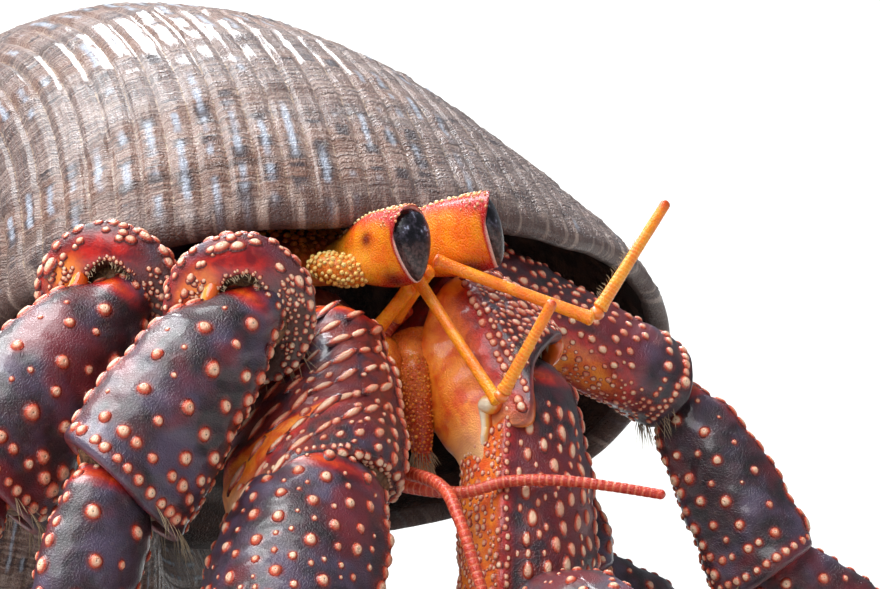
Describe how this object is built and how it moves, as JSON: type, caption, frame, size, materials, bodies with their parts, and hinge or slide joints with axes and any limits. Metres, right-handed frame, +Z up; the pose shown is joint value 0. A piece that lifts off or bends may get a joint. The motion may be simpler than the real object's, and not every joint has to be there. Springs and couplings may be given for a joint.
{
  "type": "hermit crab model",
  "caption": "Life-size still model of a land hermit crab standing in a ribbed turban shell, with stalked eyes, jointed legs, claws and feelers.",
  "frame": {"origin": "on the floor, under the middle of the whole model's box", "axes": "+Z up; the crab faces -Y and its right side is towards -X; the shell's spire points to -X and a little to +Y"},
  "size_m": [0.0974, 0.0928, 0.0495],
  "materials": {
    "shell_rib": "hard ribbed shell, mauve-brown flat cords with pale and dark dashes and cream lines between, satin with wet-looking highlights, smooth brown lip",
    "plate_dark": "hard polished plate, dark purple-black with a blue-grey sheen, red edges and raised peach pearls",
    "eyestalk_orange": "smooth bright orange with a red granular upper edge",
    "cornea_black": "glossy black eye",
    "feeler_orange": "slender orange feeler with fine rings",
    "feeler_red": "red-orange beaded feeler",
    "mouth_orange": "brown-orange mouth plates with short bristles",
    "soft_flesh": "soft leathery skin"
  },
  "bodies": {
    "root": {"shell": "shell_rib", "shield": "plate_dark", "thorax": "soft_flesh", "abdomen": "soft_flesh", "eyestalk_right": "eyestalk_orange", "cornea_right": "cornea_black", "acicle_right": "eyestalk_orange", "maxilliped_right_base": "mouth_orange", "maxilliped_right": "mouth_orange", "antennule_right_base": "feeler_orange", "antennule_right_stalk": "feeler_orange", "antennule_right_whip": "feeler_orange", "antenna_right": "feeler_red", "leg_2_right_hip": "plate_dark", "leg_2_right_merus": "plate_dark", "leg_2_right_carpus": "plate_dark", "leg_2_right_propodus": "plate_dark", "leg_2_right_dactyl": "plate_dark", "leg_3_right_hip": "plate_dark", "leg_3_right_merus": "plate_dark", "leg_3_right_carpus": "plate_dark", "leg_3_right_propodus": "plate_dark", "leg_3_right_dactyl": "plate_dark", "claw_right_hip": "plate_dark", "claw_right_merus": "plate_dark", "claw_right_carpus": "plate_dark", "claw_right_palm": "plate_dark", "claw_right_finger": "plate_dark", "eyestalk_left": "eyestalk_orange", "cornea_left": "cornea_black", "acicle_left": "eyestalk_orange", "maxilliped_left_base": "mouth_orange", "maxilliped_left": "mouth_orange", "antennule_left_base": "feeler_orange", "antennule_left_stalk": "feeler_orange", "antennule_left_whip": "feeler_orange", "antenna_left": "feeler_red", "leg_2_left_hip": "plate_dark", "leg_2_left_merus": "plate_dark", "leg_2_left_carpus": "plate_dark", "leg_2_left_propodus": "plate_dark", "leg_2_left_dactyl": "plate_dark", "leg_3_left_hip": "plate_dark", "leg_3_left_merus": "plate_dark", "leg_3_left_carpus": "plate_dark", "leg_3_left_propodus": "plate_dark", "leg_3_left_dactyl": "plate_dark", "claw_left_hip": "plate_dark", "claw_left_merus": "plate_dark", "claw_left_carpus": "plate_dark", "claw_left_palm": "plate_dark", "claw_left_finger": "plate_dark"}
  },
  "joints": []
}
